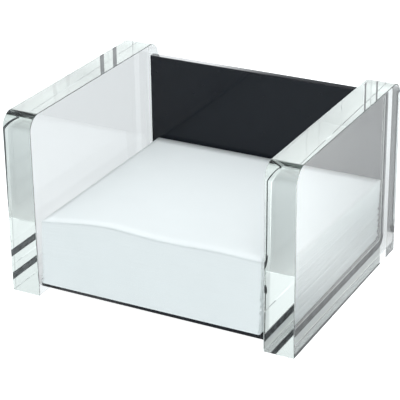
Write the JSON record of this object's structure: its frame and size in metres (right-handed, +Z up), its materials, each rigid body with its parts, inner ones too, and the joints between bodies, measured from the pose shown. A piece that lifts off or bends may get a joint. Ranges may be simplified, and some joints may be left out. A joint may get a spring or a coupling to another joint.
{
  "type": "memo paper holder",
  "caption": "Desk holder for square memo paper, with thick clear side slabs, a bent black sheet as base and back, and a pile of loose white sheets.",
  "frame": {"origin": "on the table, in the middle of the footprint of the two side slabs", "axes": "+Z up, -Y towards the open front from which the paper is taken, +X towards the right-hand slab as seen from the front"},
  "size_m": [0.118, 0.0973, 0.0725],
  "materials": {
    "clear_acrylic": "clear cast acrylic, all edges polished",
    "black_acrylic": "gloss black cast acrylic",
    "memo_paper": "plain uncoated white paper"
  },
  "bodies": {
    "holder": {"left_side_panel": "clear_acrylic", "right_side_panel": "clear_acrylic", "bent_back_and_base": "black_acrylic"},
    "memo_stack": {"memo_block": "memo_paper", "memo_sheet_04": "memo_paper", "memo_sheet_05": "memo_paper", "memo_sheet_06": "memo_paper", "memo_sheet_07": "memo_paper", "memo_sheet_08": "memo_paper", "memo_sheet_09": "memo_paper", "memo_sheet_10": "memo_paper", "memo_sheet_11": "memo_paper", "memo_sheet_12": "memo_paper", "memo_sheet_13": "memo_paper", "memo_sheet_14": "memo_paper", "memo_sheet_15": "memo_paper", "memo_sheet_16": "memo_paper"},
    "third_sheet": {"memo_sheet_03": "memo_paper"},
    "second_sheet": {"memo_sheet_02": "memo_paper"},
    "top_sheet": {"memo_sheet_01": "memo_paper"}
  },
  "joints": [
    {"name": "stack_lift", "type": "slide", "parent": "holder", "child": "memo_stack", "axis": [0, 0, 1], "range_m": [0, 0.07]},
    {"name": "third_sheet_lift", "type": "slide", "parent": "memo_stack", "child": "third_sheet", "axis": [0, 0, 1], "range_m": [0, 0.045]},
    {"name": "second_sheet_lift", "type": "slide", "parent": "third_sheet", "child": "second_sheet", "axis": [0, 0, 1], "range_m": [0, 0.045]},
    {"name": "top_sheet_lift", "type": "slide", "parent": "second_sheet", "child": "top_sheet", "axis": [0, 0, 1], "range_m": [0, 0.045]}
  ]
}
